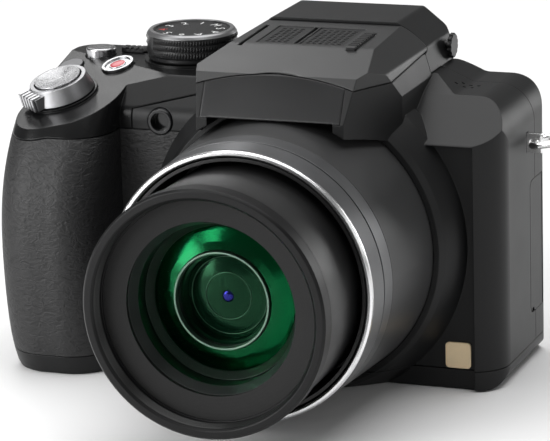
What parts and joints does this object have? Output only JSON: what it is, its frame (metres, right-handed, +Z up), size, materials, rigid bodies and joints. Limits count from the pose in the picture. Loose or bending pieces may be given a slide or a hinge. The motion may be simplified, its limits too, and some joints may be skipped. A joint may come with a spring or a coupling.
{
  "type": "bridge camera",
  "caption": "Bridge camera with a telescoping zoom lens, deep rubber grip, pop-up flash, mode dial, viewfinder hump, rear screen and strap rings.",
  "frame": {"origin": "mouth of the tripod socket, in the plane that the base stands on, below the lens axis", "axes": "+Z up; -Y is where the lens looks; +X is the side of the socket door, -X the side of the grip; the lens is stored at its wide setting"},
  "size_m": [0.1343, 0.1115, 0.0808],
  "materials": {
    "body_plastic": "fine matt charcoal paint over moulded plastic",
    "top_plastic": "satin charcoal plastic",
    "brow_gloss": "plain black band, semi-gloss",
    "rubber_skin": "black leather-grain rubber",
    "barrel_paint": "satin graphite paint",
    "trim_metal": "bright turned ring",
    "stage_paint": "satin black barrel",
    "face_paint": "matt black with light graduations",
    "coated_glass": "coated optical glass",
    "badge_metal": "satin gold-coloured plate",
    "lamp_window": "dark lamp window in a grey rim",
    "steel": "plain steel",
    "bright_steel": "bright plated steel",
    "control_metal": "turned satin top",
    "control_plastic": "satin dark plastic",
    "red_centre": "chrome ring with red centre",
    "board": "green circuit board",
    "sensor": "dark image chip on a plate",
    "screen": "screen assembly",
    "screen_glass": "dark clear window",
    "eyecup_rubber": "soft black rubber",
    "flash_parts": "ribbed clear flash window and white housing",
    "battery_wrap": "dark battery case",
    "holder_plastic": "grey holder",
    "motor_steel": "motor can",
    "port_plastic": "black sockets"
  },
  "bodies": {
    "camera_body": {"front_cover": "body_plastic", "rear_cover": "body_plastic", "top_cover": "top_plastic", "base_cover": "body_plastic", "grip_rubber": "rubber_skin", "brow_panel": "brow_gloss", "badge_plate": "badge_metal", "af_lamp": "lamp_window", "fixed_barrel": "barrel_paint", "nose_ring": "barrel_paint", "trim_ring": "trim_metal", "chassis_frame": "steel", "tripod_bush": "steel", "main_board": "board", "image_sensor": "sensor", "screen_panel": "screen", "screen_window": "screen_glass", "viewfinder_tube": "port_plastic", "eyepiece_lens": "coated_glass", "eyecup": "eyecup_rubber", "speaker": "port_plastic", "port_block": "port_plastic", "battery_holder": "holder_plastic", "battery": "battery_wrap", "zoom_motor": "motor_steel", "strap_lugs": "bright_steel", "cover_screws": "steel", "flash_hinge_pin": "steel"},
    "lens_front_group": {"front_barrel": "stage_paint", "bezel_ring": "stage_paint", "face_ring": "face_paint", "front_lens": "coated_glass", "inner_lens": "coated_glass"},
    "lens_zoom_stage": {"zoom_barrel": "stage_paint"},
    "iris_group": {"iris_unit": "port_plastic"},
    "flash_lid_group": {"flash_lid": "body_plastic", "mic_grilles": "control_plastic", "flash_unit": "flash_parts"},
    "flash_release_tab": {"flash_release": "control_plastic"},
    "zoom_lever_body": {"zoom_lever": "control_metal"},
    "shutter_button_body": {"shutter_button": "control_metal"},
    "mode_dial_body": {"mode_dial": "control_plastic"},
    "power_switch_body": {"power_switch": "control_plastic"},
    "record_button_body": {"record_button": "red_centre"},
    "drive_button_body": {"drive_button": "control_metal"},
    "focus_button_body": {"focus_button": "control_metal"},
    "rear_dial_body": {"rear_dial": "control_plastic"},
    "pad_body": {"four_way_pad": "control_plastic"},
    "menu_button_body": {"menu_button": "control_plastic"},
    "play_button_body": {"play_button": "control_plastic"},
    "display_button_body": {"display_button": "control_plastic"},
    "quick_button_body": {"quick_button": "control_plastic"},
    "lock_button_body": {"lock_button": "control_plastic"},
    "evf_button_body": {"evf_button": "control_plastic"},
    "diopter_body": {"diopter_dial": "control_plastic"},
    "battery_door_body": {"battery_door": "body_plastic"},
    "door_latch_body": {"door_latch": "control_plastic"},
    "port_door_body": {"port_door": "body_plastic"},
    "strap_ring_left_body": {"strap_ring_left": "bright_steel"},
    "strap_ring_right_body": {"strap_ring_right": "bright_steel"}
  },
  "joints": [
    {"name": "lens_zoom", "type": "slide", "parent": "camera_body", "child": "lens_front_group", "axis": [0, -1, 0], "range_m": [-0.0196, 0.026]},
    {"name": "lens_stage", "type": "slide", "parent": "camera_body", "child": "lens_zoom_stage", "axis": [0, -1, 0], "range_m": [-0.0098, 0.013]},
    {"name": "iris_travel", "type": "slide", "parent": "camera_body", "child": "iris_group", "axis": [0, -1, 0], "range_m": [-0.00588, 0.0078]},
    {"name": "flash_lid_hinge", "type": "hinge", "parent": "camera_body", "child": "flash_lid_group", "pos_m": [0, 0.0032, 0.0774], "axis": [-1, 0, 0], "range_deg": [0, 48]},
    {"name": "flash_release_slide", "type": "slide", "parent": "flash_lid_group", "child": "flash_release_tab", "axis": [0, 1, 0], "range_m": [0, 0.002], "stiffness_N_per_m": 150},
    {"name": "zoom_lever_turn", "type": "hinge", "parent": "camera_body", "child": "zoom_lever_body", "pos_m": [-0.0632, -0.0108, 0.0626], "axis": [-0.1564, -0.2689, 0.9504], "range_deg": [-18, 18], "stiffness_Nm_per_rad": 0.02},
    {"name": "shutter_press", "type": "slide", "parent": "camera_body", "child": "shutter_button_body", "axis": [0.1564, 0.2689, -0.9504], "range_m": [0, 0.0012], "stiffness_N_per_m": 800},
    {"name": "mode_dial_turn", "type": "hinge", "parent": "camera_body", "child": "mode_dial_body", "pos_m": [-0.0384, 0.0108, 0.07], "axis": [0, 0, 1], "continuous": true},
    {"name": "power_slide", "type": "slide", "parent": "camera_body", "child": "power_switch_body", "axis": [1, 0, 0], "range_m": [0, 0.0024]},
    {"name": "record_press", "type": "slide", "parent": "camera_body", "child": "record_button_body", "axis": [0.1564, 0.2689, -0.9504], "range_m": [0, 0.0005], "stiffness_N_per_m": 1200},
    {"name": "drive_press", "type": "slide", "parent": "camera_body", "child": "drive_button_body", "axis": [0, 0, -1], "range_m": [0, 0.0005], "stiffness_N_per_m": 1200},
    {"name": "focus_press", "type": "slide", "parent": "camera_body", "child": "focus_button_body", "axis": [0.1564, 0.2689, -0.9504], "range_m": [0, 0.0004], "stiffness_N_per_m": 1200},
    {"name": "rear_dial_turn", "type": "hinge", "parent": "camera_body", "child": "rear_dial_body", "pos_m": [-0.057, 0.0172, 0.0574], "axis": [0, 0, 1], "continuous": true},
    {"name": "pad_press", "type": "slide", "parent": "camera_body", "child": "pad_body", "axis": [0, -1, 0], "range_m": [0, 0.0004], "stiffness_N_per_m": 1200},
    {"name": "menu_press", "type": "slide", "parent": "camera_body", "child": "menu_button_body", "axis": [0, -1, 0], "range_m": [0, 0.0005], "stiffness_N_per_m": 1200},
    {"name": "play_press", "type": "slide", "parent": "camera_body", "child": "play_button_body", "axis": [0, -1, 0], "range_m": [0, 0.0004], "stiffness_N_per_m": 1200},
    {"name": "display_press", "type": "slide", "parent": "camera_body", "child": "display_button_body", "axis": [0, -1, 0], "range_m": [0, 0.0004], "stiffness_N_per_m": 1200},
    {"name": "quick_press", "type": "slide", "parent": "camera_body", "child": "quick_button_body", "axis": [0, -1, 0], "range_m": [0, 0.0004], "stiffness_N_per_m": 1200},
    {"name": "lock_press", "type": "slide", "parent": "camera_body", "child": "lock_button_body", "axis": [0, -1, 0], "range_m": [0, 0.0004], "stiffness_N_per_m": 1200},
    {"name": "evf_press", "type": "slide", "parent": "camera_body", "child": "evf_button_body", "axis": [0, -1, 0], "range_m": [0, 0.0004], "stiffness_N_per_m": 1200},
    {"name": "diopter_turn", "type": "hinge", "parent": "camera_body", "child": "diopter_body", "pos_m": [0.0242, 0.0186, 0.073], "axis": [1, 0, 0], "range_deg": [-60, 60]},
    {"name": "battery_door_hinge", "type": "hinge", "parent": "camera_body", "child": "battery_door_body", "pos_m": [-0.0527, -0.00225, 0.001], "axis": [0, -1, 0], "range_deg": [0, 90]},
    {"name": "door_latch_slide", "type": "slide", "parent": "battery_door_body", "child": "door_latch_body", "axis": [1, 0, 0], "range_m": [0, 0.0022]},
    {"name": "port_door_hinge", "type": "hinge", "parent": "camera_body", "child": "port_door_body", "pos_m": [0.0461, 0.0164, 0.028], "axis": [0, 0, 1], "range_deg": [0, 90]},
    {"name": "strap_ring_left_swing", "type": "hinge", "parent": "camera_body", "child": "strap_ring_left_body", "pos_m": [-0.0753, 0.005, 0.054], "axis": [0, 1, 0], "range_deg": [-5, 160]},
    {"name": "strap_ring_right_swing", "type": "hinge", "parent": "camera_body", "child": "strap_ring_right_body", "pos_m": [0.0487, 0.005, 0.054], "axis": [0, 1, 0], "range_deg": [-70, 95]}
  ],
  "couplings": [
    {"joint": "lens_stage", "follows": "lens_zoom", "ratio": 0.5},
    {"joint": "iris_travel", "follows": "lens_zoom", "ratio": 0.3}
  ]
}
